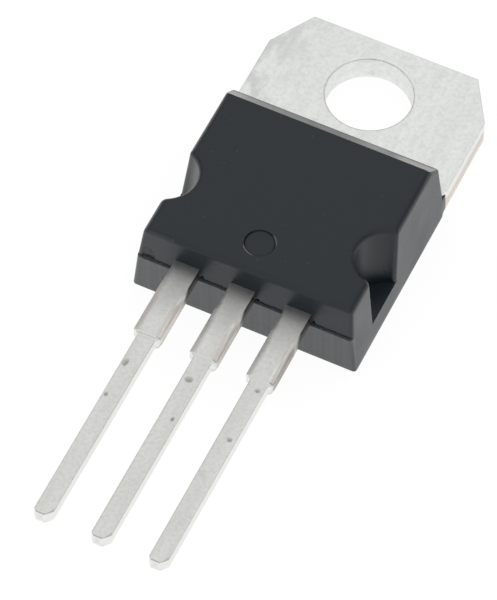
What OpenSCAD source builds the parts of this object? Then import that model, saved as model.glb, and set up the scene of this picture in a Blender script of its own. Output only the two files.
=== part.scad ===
// Triac in a flat three-lead power package with an insulated mounting tab.
// It lies on its back: the back of the spreader is z = 0 and the marked face looks along +Z.
// The origin is the axis of the mounting hole; the leads run along -Y.

/* [Moulded body] */
// Height of the front face above the back of the part
body_h = 4.15; // [4:0.05:4.7]
// Width of the body at its back
body_back_w = 10.28; // [10.2:0.02:10.6]
// Width of the body at its front face
body_front_w = 9.44; // [9.1:0.02:9.8]
// Distance from the hole to the edge of the body that faces the tab
body_top_y = 3.5; // [3.4:0.05:4]
// Distance from the hole to the back edge on the lead side
body_bottom_y = 12.5; // [12.3:0.05:12.9]
// How far the lead side bulges out at the parting plane
parting_bulge = 0.15; // [0.05:0.01:0.3]
// How far the lead side leans back from the parting plane to the front face
bottom_lean = 0.23; // [0.05:0.01:0.4]
// How far the tab side leans back from the spreader to its chamfer
top_lean = 0.25; // [0.05:0.01:0.4]
// Leg of the chamfer between the front face and the tab side
top_chamfer = 0.85; // [0.4:0.05:1]
// Radius of the vertical corners
corner_r = 0.15; // [0.15:0.05:0.6]
// Radius of the front edges
front_edge_r = 0.12; // [0.04:0.02:0.14]

/* [Side notches] */
// Distance from the hole to the middle of the notches
notch_y = 9.5; // [9:0.1:9.8]
// Distance from the middle of the part to the axis of each notch
notch_x = 5.1; // [5:0.05:5.3]
// Radius of a notch at its floor
notch_floor_r = 1.06; // [0.7:0.02:1.2]
// Radius of a notch at the front face
notch_front_r = 1.42; // [1.1:0.02:1.5]
// Radius of the rounding between a notch and the front face
notch_rim_r = 0.25; // [0.1:0.05:0.4]

/* [Mould marks] */
// Diameter of the round pin mark
pin_mark_d = 1.45; // [0.8:0.05:2]
// Depth of the pin mark
pin_mark_depth = 0.1; // [0.04:0.02:0.2]
// Distance from the hole to the pin mark
pin_mark_y = 11.05; // [10.8:0.05:11.3]
// Width of the resin gate's mark on the lead side
gate_mark_w = 0.52; // [0.4:0.02:0.7]
// Height of the resin gate's mark above the parting plane
gate_mark_h = 0.72; // [0.6:0.02:1]
// Depth of the resin gate's mark
gate_mark_depth = 0.12; // [0.05:0.01:0.2]
// Distance from the middle of the part to the resin gate's mark
gate_mark_x = 4.4; // [4.2:0.02:4.48]
// How far the lower mould half stands out from the upper one at the parting plane
parting_step = 0.08; // [0.02:0.01:0.12]
// Height of the resin that fills the gap behind the tab's shoulders
shoulder_fill_h = 1.1; // [0.4:0.05:1.2]
// How far that resin stays in from the tab's sides
shoulder_fill_inset = 0.03; // [0.02:0.01:0.2]

/* [Heat spreader] */
// Width of the tab
tab_w = 10.14; // [9.8:0.02:10.2]
// Thickness of the spreader
tab_t = 1.3; // [1.2:0.02:1.4]
// Distance from the hole to the end of the tab
tab_end_y = 2.8; // [2.6:0.05:3]
// Diameter of the mounting hole
hole_d = 3.8; // [3.6:0.05:3.9]
// Cut of a tab corner, measured across the tab
tab_cut_x = 1.2; // [0.8:0.05:1.5]
// Cut of a tab corner, measured along the tab
tab_cut_y = 2.04; // [1.5:0.02:2.4]
// Distance from the hole to the shoulders where the tab narrows
shoulder_y = 3.18; // [3.1:0.02:3.4]
// Width of the neck that enters the body
neck_w = 9.2; // [9:0.05:9.4]
// Length of the neck
neck_l = 1; // [0.8:0.05:1.2]
// Width of the tongue under the ceramic
tongue_w = 7.9; // [7.7:0.05:8]
// Distance from the hole to the end of the tongue
tongue_end_y = 11.3; // [11.1:0.05:11.6]

/* [Insulator] */
// Thickness of the solder on each side of the insulator
solder_t = 0.08; // [0.04:0.01:0.1]
// Thickness of each copper layer on the ceramic
copper_t = 0.13; // [0.1:0.01:0.15]
// Thickness of the ceramic
ceramic_t = 0.63; // [0.5:0.01:0.7]
// Width of the ceramic
ceramic_w = 7; // [6.9:0.05:7.2]
// Length of the ceramic
ceramic_l = 6.4; // [6.2:0.05:6.5]
// Distance from the hole to the middle of the ceramic
ceramic_y = 7.5; // [7.45:0.01:7.6]
// Bare ceramic around each copper layer
copper_margin = 0.3; // [0.2:0.02:0.4]

/* [Chip] */
// Side of the square chip
die_w = 4; // [3.8:0.05:4.2]
// Thickness of the chip
die_t = 0.25; // [0.2:0.01:0.3]
// Thickness of the solder under the chip and under the clip
chip_solder_t = 0.05; // [0.03:0.01:0.08]
// Thickness of the contacts and of the glass on the chip
film_t = 0.03; // [0.02:0.01:0.04]
// Width of the passivation glass along the chip's edge
glass_w = 0.25; // [0.2:0.01:0.3]
// Side of the gate contact
gate_pad_w = 0.8; // [0.7:0.05:0.9]
// Gap between the gate contact and the main contact
contact_gap = 0.15; // [0.1:0.01:0.2]

/* [Lead frame] */
// Distance between neighbouring leads
pitch = 2.54; // [2.5:0.01:2.6]
// Thickness of the lead frame
lead_t = 0.6; // [0.5:0.02:0.64]
// Width of a lead where it leaves the body
root_w = 1.15; // [1.05:0.01:1.2]
// Width of a lead at its former tie bar
bar_w = 1.25; // [1.22:0.01:1.4]
// How far the root and the wide part of each lead sit off the lead's middle
bar_shift = 0.06; // [0:0.01:0.08]
// Width of the narrow part of a lead
lead_w = 0.8; // [0.7:0.01:0.88]
// Distance from the hole to the start of the wide part
bar_start_y = 13.6; // [13.4:0.05:13.8]
// Length of the flare from the root width to the wide part
flare_l = 0.3; // [0.2:0.02:0.4]
// Distance from the hole to the lead's shoulders
lead_shoulder_y = 16.3; // [16:0.05:16.5]
// Length of the burr at the shoulders
burr_l = 0.15; // [0.05:0.01:0.25]
// Width of the burr at the shoulders
burr_w = 0.16; // [0.1:0.01:0.2]
// Distance from the hole to the lead tips
lead_tip_y = 25.92; // [25:0.02:27]
// Leg of the chamfer at a lead's tip, on the left
tip_chamfer_left = 0.16; // [0.1:0.01:0.32]
// Leg of the chamfer at a lead's tip, on the right
tip_chamfer_right = 0.3; // [0.1:0.01:0.32]
// Width of the coined bevels along the wide part
bevel_w = 0.3; // [0.1:0.01:0.35]
// Depth of the coined bevels
bevel_h = 0.3; // [0.1:0.02:0.4]
// Length over which a bevel runs out
bevel_run = 0.9; // [0.5:0.05:1.2]
// Width of the chip's pad
pad_w = 6; // [5.8:0.05:6.2]
// Length of the chip's pad
pad_l = 5.4; // [5.2:0.05:5.5]
// Distance between the pad and the outer leads' inner ends
frame_gap = 0.6; // [0.5:0.02:0.7]
// Length of the outer leads' inner ends
inner_end_l = 1; // [0.95:0.01:1.1]
// Width of the outer leads' inner ends
inner_end_w = 2.4; // [2.3:0.02:2.45]
// How far the outer leads' inner ends sit in towards the middle lead
inner_end_shift = 0.475; // [0.45:0.005:0.5]

/* [Clip and wire] */
// Thickness of the clip
clip_t = 0.25; // [0.2:0.01:0.3]
// Width of the clip on the chip
clip_foot_w = 2.2; // [2:0.05:2.3]
// Length of the clip on the chip
clip_foot_l = 1.9; // [1.6:0.05:2]
// Width of the clip's arm
clip_arm_w = 0.7; // [0.6:0.02:0.72]
// Bare margin around the clip on the main contact and on the lead
clip_margin = 0.15; // [0.1:0.01:0.2]
// Rise of the clip's arm over the edge of the chip
clip_rise = 0.25; // [0.2:0.01:0.3]
// Diameter of the gate wire
wire_d = 0.2; // [0.15:0.01:0.22]
// Height of the gate wire's arc above its chord
wire_rise = 0.4; // [0.35:0.01:0.45]
// Length of a bond at the wire's end
bond_l = 0.5; // [0.45:0.01:0.55]
// Width of a bond at the wire's end
bond_w = 0.36; // [0.32:0.01:0.4]
// Height of a bond at the wire's end
bond_h = 0.12; // [0.1:0.01:0.14]

/* [Hidden] */
$fn = 64;

// Overshoot of a cut past the face that it opens
over = 0.5;
// Size of the marker at the point where a bevel runs out
point = 0.001;
// Steps in the rounding of the front edges
round_steps = 4;
// Steps in the rounding of a notch's rim
rim_steps = 4;
// Segments in a quarter of a vertical corner
corner_steps = 4;

resin = [0.2, 0.21, 0.22];
plated = [0.85, 0.86, 0.85];
copper = [0.76, 0.47, 0.34];
solder = [0.6, 0.61, 0.62];

// Heights of the stack, from the back up
copper_1_z = tab_t + solder_t;
ceramic_z = copper_1_z + copper_t;
copper_2_z = ceramic_z + ceramic_t;
pad_solder_z = copper_2_z + copper_t;
lead_z = pad_solder_z + solder_t;
lead_top_z = lead_z + lead_t;
die_z = lead_top_z + chip_solder_t;
film_z = die_z + die_t;
contact_top_z = film_z + film_t;
clip_z = contact_top_z + chip_solder_t;
clip_end_z = lead_top_z + chip_solder_t;

// Places along the part
pad_end_y = ceramic_y + pad_l / 2;
inner_end_y = pad_end_y + frame_gap;
die_y = ceramic_y;
parting_y = body_bottom_y + parting_bulge;
front_bottom_y = parting_y - bottom_lean;
chamfer_z = body_h - top_chamfer;
chamfer_y = body_top_y + top_lean;
bar_y = bar_start_y + flare_l;

// Contacts on the chip
contact_w = die_w - 2 * glass_w;
gate_x = (contact_w - gate_pad_w) / 2;
gate_y = die_y + gate_x;

// Clip: its foot lies on the main contact and its end on the first lead
clip_foot_x = -(contact_w - clip_foot_w) / 2 + clip_margin;
clip_foot_y = die_y - (contact_w - clip_foot_l) / 2 + clip_margin;
clip_foot_end_y = clip_foot_y + clip_foot_l / 2;
clip_arm_x = clip_foot_x - (clip_foot_w - clip_arm_w) / 2;
clip_end_y = inner_end_y + inner_end_l / 2;
clip_end_l = inner_end_l - 2 * clip_margin;
inner_end_x = pitch - inner_end_shift;

// Half width, tab-side edge and lead-side edge of the body at height z
function mix(a, b, t) = a + (b - a) * t;
function half_w(z) = mix(body_back_w, body_front_w, z / body_h) / 2;
function tab_side(z) = z > chamfer_z
  ? chamfer_y + z - chamfer_z
  : chamfer_y - top_lean * (chamfer_z - max(z, tab_t)) / (chamfer_z - tab_t);
function lower_lead_side(z) = mix(body_bottom_y, parting_y, z / lead_z);
function upper_lead_side(z) =
  mix(parting_y - parting_step, front_bottom_y, (z - lead_z) / (body_h - lead_z));

// Radius of a notch, which opens evenly from its floor to the front face
notch_h = body_h - tab_t;
notch_flare = atan2(notch_front_r - notch_floor_r, notch_h);

// Outline of the body at height z as a rectangle with rounded corners
function ring(z, lead_side, inset) =
  let (
    r = corner_r - inset,
    x = half_w(z) - corner_r,
    ys = [-tab_side(z) - r, -lead_side + corner_r]
  )
  [for (corner = [[x, ys[0], 0], [-x, ys[0], 90], [-x, ys[1], 180], [x, ys[1], 270]])
    for (i = [0:corner_steps])
      let (a = corner[2] + 90 * i / corner_steps)
      [corner[0] + r * cos(a), corner[1] + r * sin(a), z]];

// Solid through rings that all have the same number of points
module loft(rings) {
  n = len(rings[0]);
  side_faces = [for (k = [0:len(rings) - 2], i = [0:n - 1])
    let (j = (i + 1) % n)
    [k * n + i, (k + 1) * n + i, (k + 1) * n + j, k * n + j]];
  caps = [[for (i = [0:n - 1]) i], [for (i = [n - 1:-1:0]) (len(rings) - 1) * n + i]];
  polyhedron([for (points = rings) each points], concat(side_faces, caps));
}

// The two mould halves meet at the back of the lead frame
lower_rings = [for (z = [0, tab_t, lead_z]) ring(z, lower_lead_side(z), 0)];
upper_rings = [for (z = [lead_z, chamfer_z]) ring(z, upper_lead_side(z), 0)];
front_rings = [for (i = [0:round_steps])
  let (a = 90 * i / round_steps, z = body_h - front_edge_r * (1 - sin(a)))
  ring(z, upper_lead_side(z), front_edge_r * (1 - cos(a)))];

// Resin that crept in between the body and the tab's shoulders
module shoulder_fill() {
  fill_l = body_top_y + top_lean - shoulder_y;
  plate(tab_w - 2 * shoulder_fill_inset, fill_l, shoulder_y + fill_l / 2, 0, shoulder_fill_h);
}

module body_block() {
  loft(lower_rings);
  loft(concat(upper_rings, front_rings));
  shoulder_fill();
}

// Half section of a notch: its wall runs into the front face through a round of notch_rim_r
module notch_section() {
  turn = 90 - notch_flare;
  foot_l = notch_rim_r * tan(turn / 2);
  rim_x = notch_front_r + foot_l;
  polygon(concat(
    [[0, 0], [notch_floor_r, 0]],
    [for (i = [0:rim_steps])
      let (a = notch_flare + turn * i / rim_steps)
      [rim_x - notch_rim_r * cos(a), notch_h - notch_rim_r * (1 - sin(a))]],
    [[rim_x, notch_h + over], [0, notch_h + over]]
  ));
}

module side_notches() {
  for (sx = [-1, 1]) translate([sx * notch_x, -notch_y, tab_t]) rotate_extrude() notch_section();
}

module pin_mark() {
  translate([0, -pin_mark_y, body_h - pin_mark_depth]) cylinder(h = over, d = pin_mark_d);
}

// A half-round pocket that stands on the parting plane
module gate_mark() {
  round_z = lead_z + gate_mark_h - gate_mark_w / 2;
  translate([-gate_mark_x, -upper_lead_side(round_z) + gate_mark_depth, 0]) rotate([90, 0, 0]) {
    translate([0, round_z, 0]) cylinder(h = over, d = gate_mark_w);
    translate([-gate_mark_w / 2, lead_z, 0]) cube([gate_mark_w, round_z - lead_z, over]);
  }
}

// Everything that the resin is moulded around
module insert() {
  heat_spreader();
  spreader_solder();
  lower_copper();
  ceramic_insulator();
  upper_copper();
  pad_solder();
  lead_frame();
  die_solder();
  triac_die();
  passivation_glass();
  main_contact();
  gate_contact();
  clip_solder();
  main_clip();
  clip_end_solder();
  gate_wire();
}

module moulded_body() {
  color(resin) difference() {
    body_block();
    side_notches();
    pin_mark();
    gate_mark();
    insert();
  }
}

// Plate centred on x = 0 with its middle at distance y from the hole
module plate(w, l, y, z, t) {
  translate([-w / 2, -y - l / 2, z]) cube([w, l, t]);
}

// One edge of the spreader on the side sx, from the tab's end to the tongue's end
function spreader_edge(sx) = [
  [sx * (tab_w / 2 - tab_cut_x), tab_end_y],
  [sx * tab_w / 2, tab_end_y - tab_cut_y],
  [sx * tab_w / 2, -shoulder_y],
  [sx * neck_w / 2, -shoulder_y],
  [sx * neck_w / 2, -shoulder_y - neck_l],
  [sx * tongue_w / 2, -shoulder_y - neck_l],
  [sx * tongue_w / 2, -tongue_end_y]
];

// One edge and the other edge backwards, joined into one closed outline
function closed(edge, other) = concat(edge, [for (i = [len(other) - 1:-1:0]) other[i]]);

module heat_spreader() {
  color(plated) difference() {
    linear_extrude(tab_t) polygon(closed(spreader_edge(1), spreader_edge(-1)));
    translate([0, 0, -over]) cylinder(h = tab_t + 2 * over, d = hole_d);
  }
}

module spreader_solder() {
  color(solder)
    plate(ceramic_w - 2 * copper_margin, ceramic_l - 2 * copper_margin, ceramic_y, tab_t, solder_t);
}

module ceramic_copper(z) {
  color(copper) plate(ceramic_w - 2 * copper_margin, ceramic_l - 2 * copper_margin, ceramic_y, z, copper_t);
}

module lower_copper() {
  ceramic_copper(copper_1_z);
}

module ceramic_insulator() {
  color("ivory") plate(ceramic_w, ceramic_l, ceramic_y, ceramic_z, ceramic_t);
}

module upper_copper() {
  ceramic_copper(copper_2_z);
}

module pad_solder() {
  color(solder) plate(pad_w, pad_l, ceramic_y, pad_solder_z, solder_t);
}

function tip_chamfer(sx) = sx > 0 ? tip_chamfer_right : tip_chamfer_left;

// One edge of a lead on the side sx, from distance y through the body wall to the tip
function lead_edge(sx, y) = [
  [sx * root_w / 2 - bar_shift, -y],
  [sx * root_w / 2 - bar_shift, -bar_start_y],
  [sx * bar_w / 2 - bar_shift, -bar_y],
  [sx * bar_w / 2 - bar_shift, -lead_shoulder_y - burr_l],
  [sx * (bar_w / 2 - burr_w) - bar_shift, -lead_shoulder_y],
  [sx * lead_w / 2, -lead_shoulder_y],
  [sx * lead_w / 2, -lead_tip_y + tip_chamfer(sx)],
  [sx * (lead_w / 2 - tip_chamfer(sx)), -lead_tip_y]
];

// Wedge that a coined bevel takes off one edge of the wide part
module bevel_cut() {
  hull() {
    translate([bar_w / 2, -bar_y, lead_top_z]) cube(point);
    translate([bar_w / 2, -bar_y - bevel_run, lead_top_z]) rotate([90, 0, 0])
      linear_extrude(lead_shoulder_y + burr_l + over - bar_y - bevel_run)
        polygon([[-bevel_w, 0], [over, 0], [over, -bevel_h], [0, -bevel_h]]);
  }
}

module bevelled(x) {
  difference() {
    children();
    for (sx = [0, 1]) translate([x - bar_shift, 0, 0]) mirror([sx, 0, 0]) bevel_cut();
  }
}

// One stamped lead from distance y outwards; its middle is at x
module lead_blank(x, y) {
  translate([x, 0, lead_z]) linear_extrude(lead_t) polygon(closed(lead_edge(1, y), lead_edge(-1, y)));
}

module middle_blank() {
  plate(pad_w, pad_l, ceramic_y, lead_z, lead_t);
  lead_blank(0, pad_end_y);
}

// Outer lead with its inner end, on the side sx of the middle lead
module outer_blank(sx) {
  translate([sx * inner_end_x - inner_end_w / 2, -inner_end_y - inner_end_l, lead_z])
    cube([inner_end_w, inner_end_l, lead_t]);
  lead_blank(sx * pitch, inner_end_y + inner_end_l / 2);
}

module lead_frame() {
  middle_blank();
  outer_blank(-1);
  outer_blank(1);
}

module lead_main_1() {
  color(plated) bevelled(-pitch) outer_blank(-1);
}

module lead_main_2() {
  color(plated) bevelled(0) middle_blank();
}

module lead_gate() {
  color(plated) bevelled(pitch) outer_blank(1);
}

module die_solder() {
  color(solder) plate(die_w, die_w, die_y, lead_top_z, chip_solder_t);
}

module triac_die() {
  color([0.35, 0.36, 0.4]) plate(die_w, die_w, die_y, die_z, die_t);
}

module passivation_glass() {
  color([0.7, 0.75, 0.6]) difference() {
    plate(die_w, die_w, die_y, film_z, film_t);
    plate(contact_w, contact_w, die_y, film_z - over, film_t + 2 * over);
  }
}

// Square around the gate contact, with a margin on each side
module gate_square(margin, z, t) {
  side = gate_pad_w + 2 * margin;
  translate([gate_x - side / 2, -gate_y - side / 2, z]) cube([side, side, t]);
}

module main_contact() {
  color("silver") difference() {
    plate(contact_w, contact_w, die_y, film_z, film_t);
    gate_square(contact_gap, film_z - over, film_t + 2 * over);
  }
}

module gate_contact() {
  color("silver") gate_square(0, film_z, film_t);
}

// Rectangle under the clip's foot, from height z
module clip_foot(z, t) {
  translate([clip_foot_x, 0, 0]) plate(clip_foot_w, clip_foot_l, clip_foot_y, z, t);
}

module clip_solder() {
  color(solder) clip_foot(contact_top_z, chip_solder_t);
}

// Bottom line of the clip in side view: foot, rise over the chip's edge, step down to the lead
clip_line = [
  [-clip_foot_y, clip_z],
  [-clip_foot_end_y, clip_z],
  [-clip_foot_end_y - clip_rise, clip_z + clip_rise],
  [-pad_end_y, clip_z + clip_rise],
  [-clip_end_y + clip_end_l / 2, clip_end_z],
  [-clip_end_y - clip_end_l / 2, clip_end_z]
];

module main_clip() {
  top_line = [for (p = clip_line) p + [0, clip_t]];
  color(copper) {
    clip_foot(clip_z, clip_t);
    translate([clip_arm_x - clip_arm_w / 2, 0, 0]) rotate([90, 0, 90])
      linear_extrude(clip_arm_w) polygon(closed(clip_line, top_line));
  }
}

module clip_end_solder() {
  color(solder) translate([clip_arm_x, 0, 0])
    plate(clip_arm_w, clip_end_l, clip_end_y, lead_top_z, chip_solder_t);
}

// Gate wire: an arc between a bond on the gate contact and a bond on the gate lead
wire_start = [gate_x, -gate_y, contact_top_z + bond_h];
wire_end = [inner_end_x - inner_end_w / 2 + bond_w, -clip_end_y, lead_top_z + bond_h];
wire_span = wire_end - wire_start;
wire_reach = norm([wire_span[0], wire_span[1]]);
wire_chord = norm(wire_span);
wire_r = (wire_chord * wire_chord / 4 + wire_rise * wire_rise) / (2 * wire_rise);
wire_half_angle = asin(wire_chord / 2 / wire_r);
wire_turn = atan2(wire_span[1], wire_span[0]);
wire_dip = atan2(wire_span[2], wire_reach);

module bond(top) {
  translate(top - [0, 0, bond_h / 2]) rotate([0, 0, wire_turn]) cube([bond_l, bond_w, bond_h], center = true);
}

module gate_wire() {
  color("silver") {
    translate((wire_start + wire_end) / 2) rotate([0, 0, wire_turn]) rotate([0, -wire_dip, 0])
      translate([0, 0, wire_rise - wire_r]) rotate([90, 0, 0]) rotate([0, 0, 90 - wire_half_angle])
        rotate_extrude(angle = 2 * wire_half_angle) translate([wire_r, 0]) circle(d = wire_d, $fn = 24);
    bond(wire_start);
    bond(wire_end);
  }
}

moulded_body();
heat_spreader();
spreader_solder();
lower_copper();
ceramic_insulator();
upper_copper();
pad_solder();
lead_main_2();
die_solder();
triac_die();
passivation_glass();
main_contact();
gate_contact();
clip_solder();
main_clip();
clip_end_solder();
lead_main_1();
lead_gate();
gate_wire();
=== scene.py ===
import bpy
import numpy as np
from bpy.props import FloatProperty, FloatVectorProperty, PointerProperty
from bpy.types import Operator, Panel, PropertyGroup
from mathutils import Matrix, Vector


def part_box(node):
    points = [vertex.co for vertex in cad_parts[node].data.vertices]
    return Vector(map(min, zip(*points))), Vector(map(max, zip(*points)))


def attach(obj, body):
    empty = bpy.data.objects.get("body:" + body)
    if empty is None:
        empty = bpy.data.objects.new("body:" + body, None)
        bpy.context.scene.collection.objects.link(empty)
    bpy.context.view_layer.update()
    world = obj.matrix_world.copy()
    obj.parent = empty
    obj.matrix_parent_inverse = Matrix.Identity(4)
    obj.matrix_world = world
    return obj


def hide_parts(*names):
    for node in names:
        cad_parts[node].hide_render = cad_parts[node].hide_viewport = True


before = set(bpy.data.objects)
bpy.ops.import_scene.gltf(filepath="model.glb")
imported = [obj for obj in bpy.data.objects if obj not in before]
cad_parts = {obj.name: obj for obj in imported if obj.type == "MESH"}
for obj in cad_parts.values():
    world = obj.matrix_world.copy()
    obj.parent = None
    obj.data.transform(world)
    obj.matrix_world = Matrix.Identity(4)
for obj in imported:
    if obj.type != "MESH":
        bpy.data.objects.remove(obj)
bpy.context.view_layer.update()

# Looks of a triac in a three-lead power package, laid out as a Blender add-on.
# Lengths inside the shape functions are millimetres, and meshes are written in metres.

bl_info = {
    "name": "Triac finish",
    "version": (1, 0, 0),
    "blender": (4, 5, 0),
    "location": "View3D > Sidebar > Triac",
    "description": "Builds the moulded body, plated tab and tinned leads of a triac around its solids",
    "category": "Object",
}

MM = 0.001
ROOT = "root"


def box_mm(node):
    """Lowest and highest corner of a node, in millimetres."""
    low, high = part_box(node)
    return np.array(low) / MM, np.array(high) / MM


BODY_LOW, BODY_HIGH = box_mm("moulded_body")
TAB_LOW, TAB_HIGH = box_mm("heat_spreader")
LEAD_LOW, LEAD_HIGH = box_mm("lead_main_1")

# Half widths of the tab's neck and of its tongue inside the body
NECK_HALF, TONGUE_HALF = 4.6, 3.95

# Angle between faces, in degrees, past which their edge is shaded sharp
SHARP_ANGLE = 35.0


# ---- settings

def length(name, description, mm, low=0.0, high=60.0):
    """A length property whose default is given in millimetres."""
    return FloatProperty(name=name, description=description, default=mm * MM, min=low * MM,
                         max=high * MM, subtype="DISTANCE", unit="LENGTH", precision=5)


def number(name, description, value, low, high):
    """A plain number property with its default and range."""
    return FloatProperty(name=name, description=description, default=value, min=low, max=high)


def colour(name, description, value):
    """A colour property with its default."""
    return FloatVectorProperty(name=name, description=description, default=value, size=3,
                               min=0.0, max=1.0, subtype="COLOR")


def share(name, description, value):
    """A factor property between 0 and 1."""
    return FloatProperty(name=name, description=description, default=value, min=0.0, max=1.0,
                         subtype="FACTOR")


class TRIAC_PG_body(PropertyGroup):
    """Sizes and colours of the moulded body."""
    front_half: length("Front half width", "Half width of the front face", 4.72)
    front_shift: length("Front shift", "How far the front face sits off the middle", 0.05)
    top_y: length("Tab side", "Distance from the hole to the body's tab side", 3.5)
    top_lean: length("Tab side lean", "How far the tab side leans back below its chamfer", 0.25)
    chamfer: length("Tab side chamfer", "Leg of the chamfer at the tab side", 0.85)
    bottom_bulge: length("Parting bulge", "How far the lead side bulges at the parting line", 0.15)
    bottom_lean: length("Lead side lean", "How far the lead side leans back to the front", 0.23)
    step: length("Parting step", "How far the lower half stands out at the parting line", 0.08)
    corner_r: length("Corner radius", "Radius of the upright corners", 0.15)
    edge_r: length("Front edge radius", "Radius of the front edges", 0.36)
    sharp_end: length("Sharp end", "Stretch over which the side edges sharpen to the chamfer", 1.0)
    lead_edge_r: length("Lead side edge radius", "Radius between front face and lead side", 0.25)
    torn: length("Torn parting line", "How much the parting line's step wanders in and out", 0.03)
    fill_h: length("Shoulder fill height", "Height of the resin behind the tab's shoulders", 1.1)
    fill_half: length("Shoulder fill half width", "Half width of that resin", 5.06)
    fill_y: length("Shoulder place", "Distance from the hole to the tab's shoulders", 3.18)
    notch_x: length("Notch axis", "Distance from the middle to a notch's axis", 5.1)
    notch_y: length("Notch place", "Distance from the hole to the notches", 9.5)
    right_floor_z: length("Right notch floor", "Height of the right notch's floor", 1.15)
    left_floor_z: length("Left notch floor", "Height of the left notch's floor", 0.9)
    right_floor_r: length("Right notch radius", "Radius of the right notch at the tab's level", 1.1)
    left_floor_r: length("Left notch radius", "Radius of the left notch at the tab's level", 1.25)
    right_lean_x: length("Right notch lean in", "Lean of the right notch's axis to the middle", 0.14)
    right_lean_y: length("Right notch lean up", "Lean of the right notch's axis to the hole", 0.2)
    left_out: length("Left notch outwards", "How far the left notch's axis sits further out", 0.16)
    left_up: length("Left notch up", "How far the left notch's axis sits nearer the hole", 0.19)
    notch_front_r: length("Notch front radius", "Radius of a notch at the front", 1.42)
    notch_rim_r: length("Notch rim radius", "Rounding between notch and front face", 0.3)
    pin_x: length("Pin mark offset", "How far the pin mark sits left of the middle", 0.06)
    pin_y: length("Pin mark place", "Distance from the hole to the pin mark", 10.98)
    pin_r: length("Pin mark radius", "Radius of the pin mark", 0.655)
    pin_depth: length("Pin mark depth", "Depth of the pin mark", 0.15)
    resin: colour("Resin", "Colour of the moulding compound", (0.0004, 0.006, 0.0115))
    # The sheen colour is painted light: a pale grey mixed into the resin where light and reflections brighten
    # it.
    sheen_colour: colour("Painted sheen", "Colour of the resin where sheen is painted on", (0.41, 0.42, 0.41))
    roughness: share("Roughness", "Roughness of the moulding compound", 0.33)
    ior: number("Refraction", "Index of refraction of the moulding compound", 1.5, 1.3, 2.0)


class TRIAC_PG_metal(PropertyGroup):
    """Sizes and colours of the tab and the leads."""
    hole_r: length("Hole radius", "Radius of the mounting hole", 1.9)
    rim_r: length("Rim roll", "Roll-over of the hole's front edge", 0.09)
    edge_r: length("Edge roll", "Roll-over of the tab's outer front edges", 0.04)
    tin: colour("Tab plate", "Colour of the plate on the tab", (0.885, 0.91, 0.895))
    lead_tin: colour("Lead plate", "Colour of the plate on the leads", (0.776, 0.785, 0.762))
    copper: colour("Bare copper", "Colour of the metal that shearing lays bare", (0.74, 0.63, 0.55))
    roughness: share("Roughness", "Roughness of the plate", 0.42)


class TRIAC_PG_stage(PropertyGroup):
    """Light, floor and camera."""
    place: FloatVectorProperty(name="Camera place", description="Place of the camera",
                               default=(0.0430039, -0.1100854, 0.1563993), size=3,
                               subtype="TRANSLATION", unit="LENGTH", precision=6)
    turn: FloatVectorProperty(name="Camera turn", description="Rotation of the camera",
                              default=(0.6042813, -0.0204744, 0.4430591), size=3,
                              subtype="EULER", unit="ROTATION", precision=6)
    lens: number("Lens", "Focal length in millimetres on a 36 mm sensor", 273.2351, 20.0, 600.0)
    sky: number("Sky", "Strength of the light from all round", 0.9, 0.0, 3.0)
    horizon: colour("Low sky", "Colour of the sky low behind the object, against white overhead",
                    (0.56, 0.5, 0.48))
    floor: colour("Floor", "Colour of the floor", (0.93, 0.93, 0.93))
    paper: number("Paper", "Strength at which the floor is seen, where 1 is white", 1.05, 0.0, 2.0)
    shadow: share("Shadow", "How much of the object's shadow the floor shows", 0.12)
    floor_size: length("Floor size", "Side of the square floor", 2000.0, 100.0, 5000.0)


# ---- mesh helpers

def grid_quads(rows, cols, wrap_rows):
    """Corner numbers of the quads of a rows by cols grid that closes on itself along cols.

    Point (i, j) is number i * cols + j. Each quad joins (i, j), (i, j+1), (i+1, j+1), (i+1, j).
    """
    last = rows if wrap_rows else rows - 1
    i, j = np.meshgrid(np.arange(last), np.arange(cols), indexing="ij")
    i_next, j_next = (i + 1) % rows, (j + 1) % cols
    quads = np.stack([i * cols + j, i * cols + j_next, i_next * cols + j_next, i_next * cols + j], -1)
    return quads.reshape(-1, 4)


def surface(name, points, wrap_rows=False, attributes=None):
    """Closed mesh object from a grid of points in millimetres, shape (rows, cols, 3).

    The columns close on themselves. The rows close on themselves, or both end rows get a pole.
    Attributes are arrays of one value per grid point.
    """
    rows, cols = points.shape[:2]
    verts = points.reshape(-1, 3) * MM
    quads = grid_quads(rows, cols, wrap_rows)
    poles = np.zeros((0, 3), int)
    if not wrap_rows:
        ends = points[[0, -1]].mean(axis=1) * MM
        verts = np.vstack([verts, ends])
        j = np.arange(cols)
        j_next = (j + 1) % cols
        first, final = rows * cols, rows * cols + 1
        base = (rows - 1) * cols
        poles = np.vstack([
            np.stack([np.full(cols, first), j_next, j], -1),
            np.stack([np.full(cols, final), base + j, base + j_next], -1),
        ])
    mesh = bpy.data.meshes.new(name)
    mesh.vertices.add(len(verts))
    mesh.vertices.foreach_set("co", verts.astype(np.float32).ravel())
    loops = np.concatenate([quads.ravel(), poles.ravel()])
    sizes = np.concatenate([np.full(len(quads), 4), np.full(len(poles), 3)])
    mesh.loops.add(len(loops))
    mesh.loops.foreach_set("vertex_index", loops.astype(np.int32))
    mesh.polygons.add(len(sizes))
    starts = np.concatenate([[0], np.cumsum(sizes)[:-1]])
    mesh.polygons.foreach_set("loop_start", starts.astype(np.int32))
    mesh.update(calc_edges=True)
    mesh.polygons.foreach_set("use_smooth", np.ones(len(sizes), bool))
    for key, values in (attributes or {}).items():
        layer = mesh.attributes.new(key, "FLOAT", "POINT")
        full = np.zeros(len(verts), np.float32)
        full[:rows * cols] = values.ravel()
        layer.data.foreach_set("value", full)
    mesh.set_sharp_from_angle(angle=np.radians(SHARP_ANGLE))
    mesh.validate()
    piece = bpy.data.objects.new(name, mesh)
    bpy.context.scene.collection.objects.link(piece)
    return piece


def place(piece, node, slot, material):
    """Stands the piece in for its node, on the part's one body, with its finish."""
    piece.data.materials.append(material)
    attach(piece, ROOT)
    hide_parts(node)


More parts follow.
